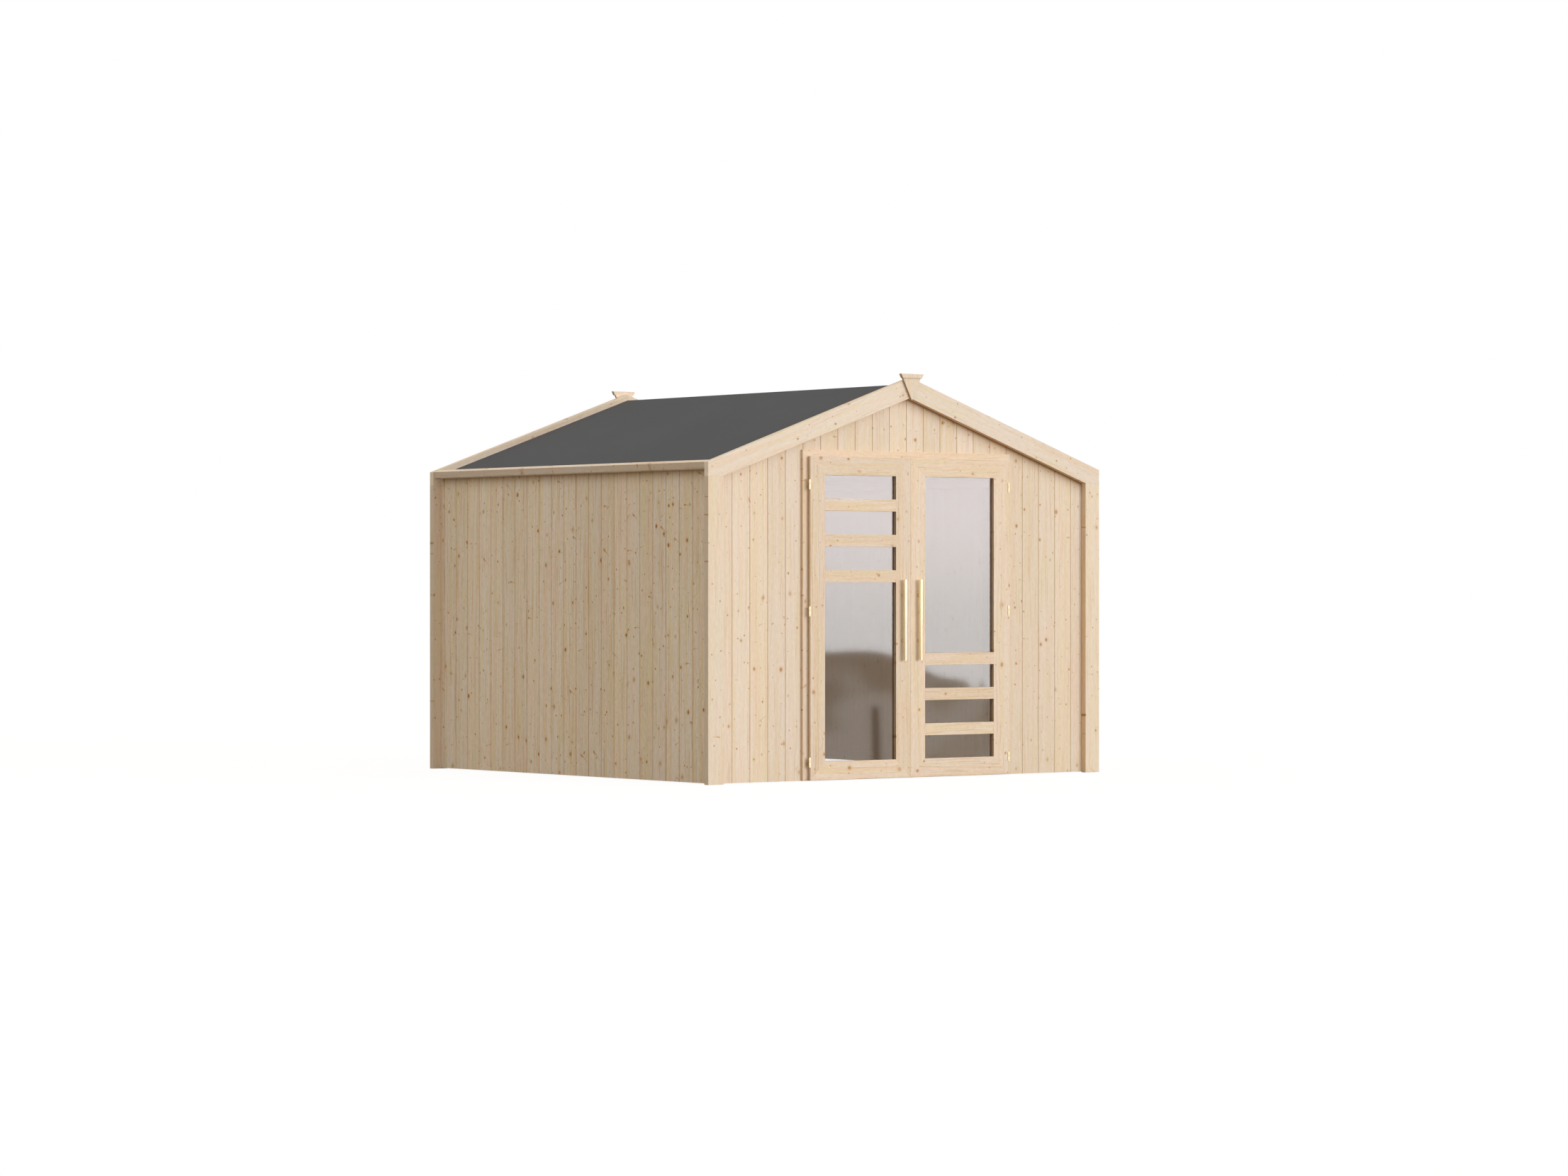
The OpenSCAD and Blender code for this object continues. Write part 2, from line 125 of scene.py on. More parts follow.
def lay_grain(bm, verts, along, mark, depth=None):
    """Runs the grain of one length of timber through its verts, along its length, with depth square to its broad
    face; mark picks which length of timber it is."""
    pick = random.Random(mark)
    spots = [v.co for v in verts]
    low = Vector([min(p[i] for p in spots) for i in range(3)])
    high = Vector([max(p[i] for p in spots) for i in range(3)])
    size = high - low
    axes = [RIGHT, BACKWARD, UP]
    if along is None:
        along = axes[max(range(3), key=lambda i: size[i])]
    if depth is None and abs(along.dot(BACKWARD)) < OBLIQUE and size.y < THIN_TIMBER:
        depth = BACKWARD
    elif depth is None:
        depth = min((a for a in axes if abs(a.dot(along)) < OBLIQUE), key=lambda a: size.dot(a))
    across = along.cross(depth).normalized()
    depth = along.cross(across).normalized()
    start = Vector((pick.uniform(0, 40), pick.uniform(0, 40), pick.uniform(0, 40)))
    tone = pick.random()
    grain, shade = bm.verts.layers.float_vector["grain"], bm.verts.layers.float["tone"]
    for v in verts:
        spot = v.co - low
        v[grain] = start + Vector((spot.dot(across), spot.dot(depth), spot.dot(along)))
        v[shade] = tone


def islands(bm):
    """The separate lengths of timber in a mesh, as lists of verts."""
    left = set(bm.verts)
    found = []
    while left:
        first = left.pop()
        piece, edge = [first], [first]
        while edge:
            v = edge.pop()
            for e in v.link_edges:
                w = e.other_vert(v)
                if w in left:
                    left.discard(w)
                    piece.append(w)
                    edge.append(w)
        found.append(piece)
    found.sort(key=lambda vs: tuple(round(sum(v.co[i] for v in vs) / len(vs), 4) for i in range(3)))
    return found


def piece_from(bm, name, material, body, slot, *nodes):
    """Makes a finished mesh a piece of the shed that stands for its CAD nodes."""
    mesh = bpy.data.meshes.new(name)
    bm.to_mesh(mesh)
    bm.free()
    piece = bpy.data.objects.new(name, mesh)
    bpy.context.scene.collection.objects.link(piece)
    mesh.materials.append(material)
    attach(piece, body)
    if nodes:
        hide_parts(*nodes)
    return piece


def soften(bm, edges, width, segments=2):
    bmesh.ops.bevel(bm, geom=edges, offset=width, offset_type="OFFSET", segments=segments, profile=0.5,
                    affect="EDGES", material=-1, clamp_overlap=True)


def planed(node, body, slot, material, along=None, arris=ARRIS, reach=None, shaded=(), pane=None):
    """The CAD node's own shape with softened arrises and grain along each length. Each of shaded is a way that
    faces look and the painted shade that those get, as what they hold back; with a pane only the ones round it get
    it, and the darkest painted shade goes behind it, while those far from it are a leaf's outer edges and get the
    edges' painted shade."""
    bm = timber(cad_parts[node].data)
    bmesh.ops.remove_doubles(bm, verts=bm.verts, dist=WELD)
    if reach:
        # A leaf's meeting edge leans, so that it is nearest the middle at the face and clears the other leaf
        # as it swings
        face = min(v.co.y for v in bm.verts)
        edge = [v for v in bm.verts if abs(v.co.x) < MEETING_EDGE and v.co.y < face + FACE_SLACK]
        bmesh.ops.translate(bm, vec=reach, verts=edge)
    bmesh.ops.dissolve_limit(bm, angle_limit=FLAT, verts=bm.verts, edges=bm.edges)
    soften(bm, [e for e in bm.edges if e.is_manifold and e.calc_face_angle() > SHARP_EDGE], arris)
    if pane:
        bmesh.ops.bisect_plane(bm, geom=bm.verts[:] + bm.edges[:] + bm.faces[:], plane_co=pane[0],
                               plane_no=BACKWARD)
    painted_shade = bm.faces.layers.float_vector["painted_shade"]
    for face in bm.faces:
        spot = face.calc_center_median()
        near = pane and all(pane[0][i] - PANE_MARGIN < spot[i] < pane[1][i] + PANE_MARGIN for i in (0, 2))
        for way, shade in shaded:
            if face.normal.dot(way) > SAME_WAY:
                if pane and not near:
                    shade = EDGE_SHADE
                elif near and spot.y > pane[0].y:
                    shade = REBATE_SHADE
                face[painted_shade] = shade
    for number, verts in enumerate(islands(bm)):
        lay_grain(bm, verts, along, f"{node} {number}")
    return piece_from(bm, node + "_timber", material, body, slot, node)


def sawn(bm, spot, normal):
    """Cuts off what lies beyond a plane and closes the cut."""
    cut = bmesh.ops.bisect_plane(bm, geom=bm.verts[:] + bm.edges[:] + bm.faces[:], plane_co=spot, plane_no=normal,
                                 clear_outer=True)
    rim = [g for g in cut["geom_cut"] if isinstance(g, bmesh.types.BMEdge)]
    if rim:
        bmesh.ops.edgeloop_fill(bm, edges=rim)


def one_board(low, high, face_out, planes, mark, chamfer=0, sides=()):
    """A board cut from a cube, chamfered along its outer long edges on the given sides and cut off above the
    planes. When chamfered, its chamfers and sides get the painted shade of a seam."""
    bm = timber()
    bmesh.ops.create_cube(bm, size=1)
    bmesh.ops.scale(bm, vec=high - low, verts=bm.verts)
    bmesh.ops.translate(bm, vec=(low + high) / 2, verts=bm.verts)
    middle = (low + high) / 2
    outer = []
    for e in bm.edges:
        way = (e.verts[1].co - e.verts[0].co).normalized()
        centre = (e.verts[0].co + e.verts[1].co) / 2
        if (abs(way.dot(UP)) > SAME_WAY and (centre - middle).dot(face_out) > 0
                and any((centre - middle).dot(side) > 0 for side in sides)):
            outer.append(e)
    if outer:
        soften(bm, outer, chamfer, 1)
        painted_shade = bm.faces.layers.float_vector["painted_shade"]
        for face in bm.faces:
            if abs(face.normal.dot(UP.cross(face_out))) > OBLIQUE:
                face[painted_shade] = SEAM_SHADE
    for spot, normal in planes:
        sawn(bm, spot, normal)
    bmesh.ops.recalc_face_normals(bm, faces=bm.faces)
    calm = bm.faces.layers.float["calm"]
    for face in bm.faces:
        if face.normal.dot(face_out) < -SAME_WAY:
            face[calm] = ROOM_FACE_CALM
    lay_grain(bm, bm.verts[:], UP, mark, face_out)
    return bm


def join_in(whole, part):
    mesh = bpy.data.meshes.new("cutting")
    part.to_mesh(mesh)
    part.free()
    whole.from_mesh(mesh)
    bpy.data.meshes.remove(mesh)


def roof_boarding(node, name, slope, cover, material):
    """Replaces a roof deck by boards that run down the slope, chamfered along their lower long edges."""
    low, high = (Vector(c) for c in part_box(node))
    count = round((high.y - low.y) / cover)
    step = (high.y - low.y) / count
    upward = slope.cross(BACKWARD)
    upward = upward if upward.z > 0 else -upward
    whole = timber()
    for number in range(count):
        bm = timber(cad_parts[node].data)
        bmesh.ops.remove_doubles(bm, verts=bm.verts, dist=WELD)
        bmesh.ops.dissolve_limit(bm, angle_limit=FLAT, verts=bm.verts, edges=bm.edges)
        near, far = low.y + number * step, low.y + (number + 1) * step
        sawn(bm, BACKWARD * (near + (BOARD_SLIT / 2 if number else 0)), -BACKWARD)
        sawn(bm, BACKWARD * (far - (BOARD_SLIT / 2 if number < count - 1 else 0)), BACKWARD)
        bmesh.ops.recalc_face_normals(bm, faces=bm.faces)
        middle = sum((v.co for v in bm.verts), Vector()) / len(bm.verts)
        lower = [e for e in bm.edges if abs((e.verts[1].co - e.verts[0].co).normalized().dot(slope)) > SAME_WAY
                 and ((e.verts[0].co + e.verts[1].co) / 2 - middle).dot(upward) < 0]
        soften(bm, lower, ROOF_CHAMFER, 1)
        # The boards' sides and chamfers get the painted shade of a seam
        painted_shade = bm.faces.layers.float_vector["painted_shade"]
        for face in bm.faces:
            if abs(face.normal.y) > OBLIQUE:
                face[painted_shade] = SEAM_SHADE
        lay_grain(bm, bm.verts[:], slope, f"{name} {number}", upward)
        join_in(whole, bm)
    return piece_from(whole, name, material, "shed", "framing_timber", node)


def boarding(node, name, axis, face_out, seams, chamfer, material, planes, mark):
    """Replaces a wall by its boards. seams are where one board meets the next, along axis."""
    low, high = (Vector(c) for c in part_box(node))
    start, end = low.dot(axis), high.dot(axis)
    marks = sorted(s for s in seams if start + LEAST_BOARD < s < end - LEAST_BOARD)
    stops = [start] + marks + [end]
    whole = timber()
    for a, b in zip(stops, stops[1:]):
        first = a + (BOARD_SLIT / 2 if a in marks else 0)
        last = b - (BOARD_SLIT / 2 if b in marks else 0)
        board_low = low + axis * (first - start)
        board_high = high + axis * (last - end)
        number = sum(1 for s in seams if s < (a + b) / 2)
        sides = [axis * way for way, end_at in ((-1, a), (1, b)) if end_at in marks]
        join_in(whole, one_board(board_low, board_high, face_out, planes, f"{mark} {number}", chamfer, sides))
    # The tongues close the slits between the boards, from just inside the room face to well behind the outer one,
    # and all their faces get painted shade, as they show in the slits
    thin = Vector([abs(c) for c in face_out])
    outer, inner = thin * TONGUE_DEPTH, thin * TONGUE_INSET
    if face_out.dot(thin) < 0:
        outer, inner = inner, outer
    ends = axis * TONGUE_SHORT
    tongue = one_board(low + inner + ends, high - outer - ends - UP * TONGUE_LOWER, face_out, planes,
                       f"{mark} tongue")
    painted_shade = tongue.faces.layers.float_vector["painted_shade"]
    for face in tongue.faces:
        face[painted_shade] = TONGUE_SHADE
    join_in(whole, tongue)
    return piece_from(whole, name, material, "shed", "wall_boards", node)


# ---------- finishes ----------

# The pine's lengths of timber lie between PALE and CREAM; the next five are its bands, patches, blush and
# latewood lines, and EVEN is their mean
PALE = (0.752, 0.632, 0.520)
CREAM = (0.748, 0.606, 0.442)
WARM = (0.725, 0.552, 0.365)
ROSY = (0.765, 0.588, 0.452)
STRAW = (0.725, 0.605, 0.395)
SILVER = (0.742, 0.642, 0.545)
LATE = (0.615, 0.435, 0.265)
EVEN = (0.722, 0.582, 0.436)
# Sorts of knot: spacing across and along the grain, the share of places that have one, smallest and largest
# radius, where their pattern starts, how much longer they are across and along, and how much they bend
BIG_KNOTS = ((0.082, 0.36), 0.62, 0.0054, 0.0122, 1.0, (1.0, 1.2), 0.0)
PIN_KNOTS = ((0.050, 0.140), 0.68, 0.0028, 0.0062, 7.0, (1.0, 1.15), 0.0)
SPIKE_KNOTS = ((0.13, 0.46), 0.60, 0.0035, 0.0095, 13.0, (3.6, 1.0), 60.0)
# Farther than any knot reaches, in knot radii
NO_KNOT = 50.0
# A big knot's colours from its heart to its rim and the halo round it, and those of the other sorts
HEART = ((0.0, (0.24, 0.098, 0.033, 1)), (0.42, (0.38, 0.17, 0.056, 1)), (0.70, (0.53, 0.28, 0.105, 1)),
         (1.0, (0.66, 0.43, 0.215, 1)))
RESIN = (0.620, 0.420, 0.220)
SPIKE_DARK = (0.43, 0.215, 0.085)
SPIKE_PALE = (0.62, 0.375, 0.170)
PIN = (0.45, 0.200, 0.066)
# A painted shadow under a roof's edge: what timber is multiplied by at that edge, and how far below it the shadow
# ends
PAINTED_SHADOW = (0.46, 0.33, 0.20)
PAINTED_SHADOW_REACH = 0.12
# The share of what it is shown that a pane's face mirrors when looked at squarely
PANE_MIRROR = 0.125


def finish(name):
    material = bpy.data.materials.new(name)
    material.use_nodes = True
    tree = material.node_tree
    tree.nodes.clear()
    return material, tree


def node(tree, kind, inputs=None, **settings):
    """Adds a shader node; an input is a value or another node's output socket."""
    made = tree.nodes.new(kind)
    for key, value in settings.items():
        setattr(made, key, value)
    for key, value in (inputs or {}).items():
        if isinstance(value, bpy.types.NodeSocket):
            tree.links.new(value, made.inputs[key])
        else:
            made.inputs[key].default_value = value
    return made


def maths(tree, operation, *values):
    return node(tree, "ShaderNodeMath", dict(enumerate(values)), operation=operation).outputs[0]


def vector_maths(tree, operation, a, b):
    return node(tree, "ShaderNodeVectorMath", {0: a, 1: b}, operation=operation).outputs[0]


def noise(tree, vector, detail, rough=0.5):
    return node(tree, "ShaderNodeTexNoise", {"Vector": vector, "Scale": 1.0, "Detail": detail,
                                             "Roughness": rough}).outputs["Fac"]


def scaled(tree, vector, scale):
    return vector_maths(tree, "MULTIPLY", vector, scale)


def grey(tree, level):
    """A colour whose channels are all the same level."""
    return node(tree, "ShaderNodeCombineColor", {i: level for i in range(3)}).outputs[0]


def attribute(tree, name, output):
    return node(tree, "ShaderNodeAttribute", attribute_name=name).outputs[output]


def object_place(tree):
    return node(tree, "ShaderNodeTexCoord").outputs["Object"]


def fade(tree, value, from_low, from_high, to_low=0.0, to_high=1.0):
    return node(tree, "ShaderNodeMapRange", {"Value": value, "From Min": from_low, "From Max": from_high,
                                             "To Min": to_low, "To Max": to_high},
                interpolation_type="SMOOTHSTEP").outputs[0]


def blend(tree, amount, a, b, mode="MIX"):
    made = node(tree, "ShaderNodeMix", {0: amount, 6: a, 7: b}, data_type="RGBA", blend_type=mode)
    return made.outputs[2]


def knots(tree, grain, sort, share):
    """For one sort of knot: the distance from the nearest one in knot radii, how far to its side, and how strong
    it is, from 0 to 1. share is how many of the sort's knots there are."""
    spacing, places, small, large, seed, stretch, arch = sort
    split = node(tree, "ShaderNodeSeparateXYZ", {0: grain})
    flat = node(tree, "ShaderNodeCombineXYZ", {0: maths(tree, "DIVIDE", split.outputs[0], spacing[0]),
                                               1: maths(tree, "DIVIDE", split.outputs[2], spacing[1]),
                                               2: seed}).outputs[0]
    cells = node(tree, "ShaderNodeTexVoronoi", {"Vector": flat, "Scale": 1.0, "Randomness": 1.0},
                 voronoi_dimensions="2D", feature="F1")
    away = vector_maths(tree, "MULTIPLY", vector_maths(tree, "SUBTRACT", flat, cells.outputs["Position"]),
                        (spacing[0] / stretch[0], spacing[1] / stretch[1], 0))
    side = node(tree, "ShaderNodeSeparateXYZ", {0: away}).outputs[0]
    picks = node(tree, "ShaderNodeSeparateXYZ", {0: cells.outputs["Color"]})
    if arch:
        # A knot cut along its length leans one way or the other and bends
        sides = node(tree, "ShaderNodeSeparateXYZ", {0: away})
        lean = maths(tree, "MULTIPLY", maths(tree, "SUBTRACT", picks.outputs[1], 0.5), 1.6 * stretch[0])
        bent = maths(tree, "MULTIPLY_ADD", maths(tree, "MULTIPLY", sides.outputs[0], sides.outputs[0]), arch,
                     maths(tree, "MULTIPLY_ADD", sides.outputs[0], lean, sides.outputs[1]))
        # and tapers towards the pith from a blunt end
        taper = fade(tree, sides.outputs[0], -0.008, 0.008, 0.9, 3.2)
        end = maths(tree, "POWER", maths(tree, "ABSOLUTE", maths(tree, "DIVIDE", sides.outputs[0], large)), 3.0)
        away = node(tree, "ShaderNodeCombineXYZ", {0: maths(tree, "MULTIPLY", end, large),
                                                   1: maths(tree, "MULTIPLY", bent, taper)}).outputs[0]
    reach = node(tree, "ShaderNodeVectorMath", {0: away}, operation="LENGTH").outputs["Value"]
    radius = maths(tree, "MULTIPLY_ADD", maths(tree, "POWER", picks.outputs[1], 1.5), large - small, small)
    there = maths(tree, "LESS_THAN", picks.outputs[0], places * share)
    wobble = maths(tree, "MULTIPLY_ADD", noise(tree, scaled(tree, grain, (260, 260, 160)), 2.0), 0.7, 0.65)
    ratio = maths(tree, "DIVIDE", maths(tree, "MULTIPLY", reach, wobble), radius)
    ratio = maths(tree, "ADD", ratio, maths(tree, "MULTIPLY", maths(tree, "SUBTRACT", 1.0, there), NO_KNOT))
    return ratio, side, picks.outputs[2]


def pine(name, contrast, tint=(1.0, 1.0, 1.0), roughness=0.66, knot_share=1.0, knot_depth=1.0, spike_share=1.0,
         shadow_edge=None):
    """Unpainted planed pine: mottled straight streaks, latewood lines, small orange-brown knots and spike knots.
    contrast is how strong its figure is. Faces are darkened by the painted shade that they carry, and boards get a
    painted shadow close under a roof edge; the last argument is how that edge falls to the right, and its level."""
    material, tree = finish(name)
    grain = attribute(tree, "grain", "Vector")
    tone = attribute(tree, "tone", "Fac")
    painted_shade = attribute(tree, "painted_shade", "Vector")
    big, big_side, big_kind = knots(tree, grain, BIG_KNOTS, knot_share)
    pin, _, pin_kind = knots(tree, grain, PIN_KNOTS, knot_share)
    spike, spike_side, spike_kind = knots(tree, grain, SPIKE_KNOTS, spike_share)
    split = node(tree, "ShaderNodeSeparateXYZ", {0: grain})
    # The grain flows round each knot
    push = maths(tree, "DIVIDE", big_side, maths(tree, "MULTIPLY_ADD", maths(tree, "POWER", big, 2.0), 0.30, 0.9))
    wander = maths(tree, "MULTIPLY", noise(tree, scaled(tree, grain, (6, 6, 2.2)), 2.0), 0.035)
    flow = node(tree, "ShaderNodeCombineXYZ", {
        0: maths(tree, "ADD", maths(tree, "SUBTRACT", split.outputs[0], push), wander),
        1: split.outputs[1], 2: split.outputs[2]}).outputs[0]

    def figure(scale, detail=2.0, rough=0.5):
        return noise(tree, scaled(tree, flow, scale), detail, rough)

    def lay(base, pattern, low, high, strength, colour):
        amount = maths(tree, "MULTIPLY", fade(tree, pattern, low, high), strength * contrast)
        return blend(tree, amount, base, colour + (1,))

    bands, patches = figure((26, 20, 0.7), 1.0), figure((30, 24, 1.9), 1.5)
    blush, streaks = figure((46, 30, 0.9), 1.5), figure((130, 70, 2.2), 2.0)
    flecks, fibre = figure((120, 110, 30), 2.0), figure((900, 900, 16), 2.0, 0.6)
    drift = figure((9, 7, 0.9))
    turns = maths(tree, "MULTIPLY_ADD", node(tree, "ShaderNodeSeparateXYZ", {0: flow}).outputs[0], 560.0,
                  maths(tree, "MULTIPLY", drift, 75.0))
    ring = maths(tree, "POWER", maths(tree, "MULTIPLY_ADD", maths(tree, "SINE", turns), 0.5, 0.5), 3.0)
    base = blend(tree, fade(tree, tone, 0.0, 1.0), PALE + (1,), CREAM + (1,))
    base = lay(base, bands, 0.51, 0.58, 0.70, WARM)
    base = lay(base, patches, 0.53, 0.60, 0.60, STRAW)
    base = lay(base, patches, 0.47, 0.40, 0.65, ROSY)
    base = lay(base, blush, 0.53, 0.59, 0.75, SILVER)
    base = lay(base, streaks, 0.59, 0.66, 0.70, LATE)
    base = lay(base, ring, 0.0, 1.0, 0.10, LATE)
    shade = fade(tree, maths(tree, "FRACT", maths(tree, "MULTIPLY", tone, 7.3)), 0.0, 1.0, 0.965, 1.03)
    base = blend(tree, 1.0, base, grey(tree, shade), "MULTIPLY")
    for grainy, spread in ((fibre, 0.025), (flecks, 0.045 * contrast)):
        level = fade(tree, grainy, 0.34, 0.66, 1.0 - spread, 1.0 + spread)
        base = blend(tree, 1.0, base, grey(tree, level), "MULTIPLY")
    # Knots: a resin halo, an orange rim and a dark heart
    halo = maths(tree, "MULTIPLY", fade(tree, big, 1.0, 2.6, 1.0, 0.0), 0.35 * knot_depth)
    base = blend(tree, halo, base, RESIN + (1,))
    heart = node(tree, "ShaderNodeValToRGB", {0: maths(tree, "DIVIDE", big, 1.3)})
    ramp = heart.color_ramp
    for number in (0, 1):
        ramp.elements[number].position, ramp.elements[number].color = HEART[number]
    for place, colour in HEART[2:]:
        ramp.elements.new(place).color = colour
    strength = fade(tree, big_kind, 0.0, 1.0, 0.40 * knot_depth, knot_depth)
    base = blend(tree, maths(tree, "MULTIPLY", fade(tree, big, 0.70, 1.35, 1.0, 0.0), strength), base,
                 heart.outputs[0])
    spike_strength = fade(tree, spike_kind, 0.0, 1.0, 0.45 * knot_depth, 0.90 * knot_depth)
    spike_colour = blend(tree, fade(tree, spike_side, -0.008, 0.001), SPIKE_DARK + (1,), SPIKE_PALE + (1,))
    base = blend(tree, maths(tree, "MULTIPLY", fade(tree, spike, 0.5, 1.5, 1.0, 0.0), spike_strength), base,
                 spike_colour)
    pin_strength = fade(tree, pin_kind, 0.0, 0.8, 0.40 * knot_depth, knot_depth)
    base = blend(tree, maths(tree, "MULTIPLY", fade(tree, pin, 0.4, 1.5, 1.0, 0.0), pin_strength), base, PIN + (1,))
    base = blend(tree, attribute(tree, "calm", "Fac"), base, EVEN + (1,))
    if tint != (1.0, 1.0, 1.0):
        base = blend(tree, 1.0, base, tint + (1,), "MULTIPLY")
    # Painted shadow close under a roof edge
    if shadow_edge:
        fall, level = shadow_edge
        spot = node(tree, "ShaderNodeSeparateXYZ", {0: object_place(tree)})
        height = maths(tree, "MULTIPLY_ADD", spot.outputs[0], math.sin(fall),
                       maths(tree, "MULTIPLY", spot.outputs[2], math.cos(fall)))
        under = node(tree, "ShaderNodeMapRange", {"Value": height, "From Min": level - PAINTED_SHADOW_REACH,
                                                  "From Max": level}).outputs[0]
        base = blend(tree, maths(tree, "POWER", under, 3.0), base, blend(tree, 1.0, base, PAINTED_SHADOW + (1,),
                                                                         "MULTIPLY"))
    # Each face's painted shade takes away what it holds back of each colour
    base = blend(tree, 1.0, base, vector_maths(tree, "SUBTRACT", (1, 1, 1), painted_shade), "MULTIPLY")
    height = maths(tree, "ADD", maths(tree, "MULTIPLY", fibre, 0.35), maths(tree, "MULTIPLY", ring, 0.25))
    height = maths(tree, "ADD", height, fade(tree, big, 0.9, 1.2, 0.35, 0.0))
    bump = node(tree, "ShaderNodeBump", {"Strength": 0.20, "Distance": 0.0010, "Height": height})
    shader = node(tree, "ShaderNodeBsdfPrincipled", {
        "Base Color": base, "Specular IOR Level": 0.14, "Normal": bump.outputs[0],
        "Roughness": fade(tree, streaks, 0.2, 0.8, roughness - 0.06, roughness + 0.10)})
    node(tree, "ShaderNodeOutputMaterial", {0: shader.outputs[0]})
    return material


def roofing_felt():
    material, tree = finish("mineral roofing felt")
    place = object_place(tree)
    grit = noise(tree, scaled(tree, place, (520, 520, 520)), 3.0, 0.7)
    chip = node(tree, "ShaderNodeTexVoronoi", {"Vector": scaled(tree, place, (700, 700, 700)),
                                              "Scale": 1.0}, feature="F1").outputs["Distance"]
    wash = noise(tree, scaled(tree, place, (0.8, 9, 0.8)), 3.0)
    patch = noise(tree, scaled(tree, place, (1.3, 1.3, 1.3)), 3.0)
    colour = blend(tree, fade(tree, grit, 0.32, 0.68), (0.064, 0.066, 0.072, 1), (0.106, 0.109, 0.118, 1))
    colour = blend(tree, fade(tree, wash, 0.3, 0.7, 0.0, 0.10), colour, (0.105, 0.107, 0.112, 1))
    colour = blend(tree, fade(tree, patch, 0.3, 0.7, 0.0, 0.10), colour, (0.037, 0.038, 0.042, 1))
    height = maths(tree, "ADD", grit, maths(tree, "MULTIPLY", chip, 0.6))
    bump = node(tree, "ShaderNodeBump", {"Strength": 0.45, "Distance": 0.0012, "Height": height})
    shader = node(tree, "ShaderNodeBsdfPrincipled", {"Base Color": colour, "Roughness": 0.92,
                                                     "Specular IOR Level": 0.18, "Normal": bump.outputs[0]})
    node(tree, "ShaderNodeOutputMaterial", {0: shader.outputs[0]})
    return material


def polished_brass():
    material, tree = finish("polished brass")
    place = object_place(tree)
    smear = noise(tree, scaled(tree, place, (40, 40, 14)), 3.0)
    scratch = noise(tree, scaled(tree, place, (300, 300, 3000)), 2.0)
    colour = blend(tree, fade(tree, smear, 0.3, 0.7), (0.96, 0.86, 0.58, 1), (0.93, 0.79, 0.49, 1))
    bump = node(tree, "ShaderNodeBump", {"Strength": 0.05, "Distance": 0.0004, "Height": scratch})
    shader = node(tree, "ShaderNodeBsdfPrincipled", {"Base Color": colour, "Metallic": 0.95,
                                                     "Roughness": fade(tree, smear, 0.2, 0.8, 0.06, 0.11),
                                                     "Normal": bump.outputs[0]})
    node(tree, "ShaderNodeOutputMaterial", {0: shader.outputs[0]})
    return material


# Dark collars at the stand-offs' feet, which stand in for the shade where the stand-offs meet the leaves
def dark_collar_shade():
    material, tree = finish("dark bronze")
    place = object_place(tree)
    patina = noise(tree, scaled(tree, place, (160, 160, 160)), 3.0)
    colour = blend(tree, fade(tree, patina, 0.3, 0.7), (0.34, 0.21, 0.09, 1), (0.46, 0.30, 0.14, 1))
    shader = node(tree, "ShaderNodeBsdfPrincipled", {"Base Color": colour, "Metallic": 0.8,
                                                     "Roughness": fade(tree, patina, 0.2, 0.8, 0.35, 0.5)})
    node(tree, "ShaderNodeOutputMaterial", {0: shader.outputs[0]})
    return material


def window_glass():
    """Clear panes: each face mirrors a little more than a tenth of what it is shown and lets the rest through."""
    material, tree = finish("clear float glass")
    place = object_place(tree)
    ripple = noise(tree, scaled(tree, place, (1.4, 1.4, 0.8)), 1.0)
    bump = node(tree, "ShaderNodeBump", {"Strength": 0.02, "Distance": 0.01, "Height": ripple}).outputs[0]
    mirror = node(tree, "ShaderNodeBsdfGlossy", {"Color": (1, 1, 1, 1), "Roughness": 0.02, "Normal": bump})
    clear = node(tree, "ShaderNodeBsdfTransparent", {"Color": (0.975, 0.98, 0.975, 1)})
    facing = node(tree, "ShaderNodeLayerWeight", {"Blend": 0.5, "Normal": bump}).outputs["Facing"]
    share = maths(tree, "MULTIPLY_ADD", maths(tree, "POWER", facing, 5.0), 1.0 - PANE_MIRROR, PANE_MIRROR)
    shown = node(tree, "ShaderNodeMixShader", {0: share, 1: clear.outputs[0], 2: mirror.outputs[0]})
    node(tree, "ShaderNodeOutputMaterial", {0: shown.outputs[0]})
    return material


# The roof's slope, from a deck's outermost edge up to its ridge
deck_spots = [v.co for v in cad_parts["left_roof_deck"].data.vertices]
lip, ridge = min(deck_spots, key=lambda c: c.x), max(deck_spots, key=lambda c: c.z)
pitch = math.atan2(ridge.z - lip.z, ridge.x - lip.x)
# The levels of the lower edges of the eave boards, and of the right bargeboard square to its slope, where the
# painted shadows under the roof edges start
eave_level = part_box("left_eave_board")[0][2]
barge_level = min(v.co.z * math.cos(pitch) + v.co.x * math.sin(pitch)
                  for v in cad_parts["front_right_bargeboard"].data.vertices)

gable_pine = pine("pine gable boarding", tint=(1.035, 1.04, 1.06), contrast=0.62, knot_share=0.9,
                  knot_depth=0.78, spike_share=0.3, shadow_edge=(pitch, barge_level))
side_pine = pine("pine side boarding", contrast=1.1, shadow_edge=(0.0, eave_level))
trim_pine = pine("planed pine trim", tint=(1.04, 1.055, 1.09), contrast=0.62, knot_share=0.9, knot_depth=0.8,
                 spike_share=0.3)
joinery_pine = pine("pine joinery", tint=(1.025, 1.005, 1.0), contrast=0.75, roughness=0.60, knot_share=0.85,
                    knot_depth=0.68, spike_share=0.3)
framing_pine = pine("framing timber", tint=(0.98, 0.94, 0.87), contrast=0.5, roughness=0.74, knot_depth=0.45)
felt = roofing_felt()
brass = polished_brass()
collar_shade = dark_collar_shade()
glass = window_glass()

# ---------- walls ----------

